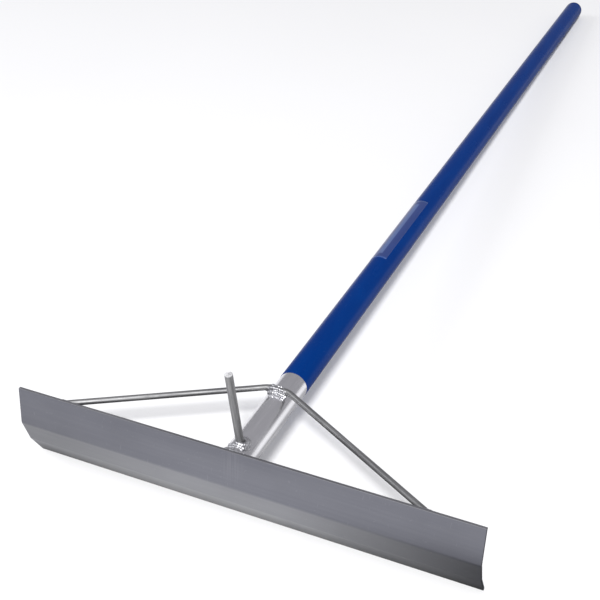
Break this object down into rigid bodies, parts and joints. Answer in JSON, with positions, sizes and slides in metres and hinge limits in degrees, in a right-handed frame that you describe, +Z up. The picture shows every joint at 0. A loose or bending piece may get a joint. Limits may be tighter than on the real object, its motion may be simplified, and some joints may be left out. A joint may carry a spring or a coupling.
{
  "type": "concrete placer",
  "caption": "Long-handled concrete placer: a wide bent sheet blade welded to a straight coated tube, with a brace rod over the tube and an upright mesh-lifting hook.",
  "frame": {"origin": "middle of the object's footprint, on the ground that it lies on", "axes": "+Z up, +Y along the handle from the blade to the end cap, +X along the blade to the right seen from the blade's front"},
  "size_m": [0.4952, 1.5448, 0.1876],
  "materials": {
    "blade_sheet": "mill-finish aluminium sheet, dull, with handling marks",
    "bare_tube": "drawn aluminium tube, satin, with fine lengthwise grain",
    "blue_coating": "smooth blue coating, semi-gloss",
    "blue_cap": "moulded blue plastic",
    "rod_stock": "drawn round rod, dull grey with streaks",
    "weld_bead": "rippled bright weld bead",
    "label_film": "pale blue film label, plain"
  },
  "bodies": {
    "root": {"blade": "blade_sheet", "handle_tube": "bare_tube", "handle_coating": "blue_coating", "end_cap": "blue_cap", "brace_rod": "rod_stock", "mesh_hook": "rod_stock", "weld_tube": "weld_bead", "weld_hook": "weld_bead", "weld_brace_front": "weld_bead", "weld_brace_rear": "weld_bead", "weld_brace_left": "weld_bead", "weld_brace_right": "weld_bead", "label": "label_film"}
  },
  "joints": []
}
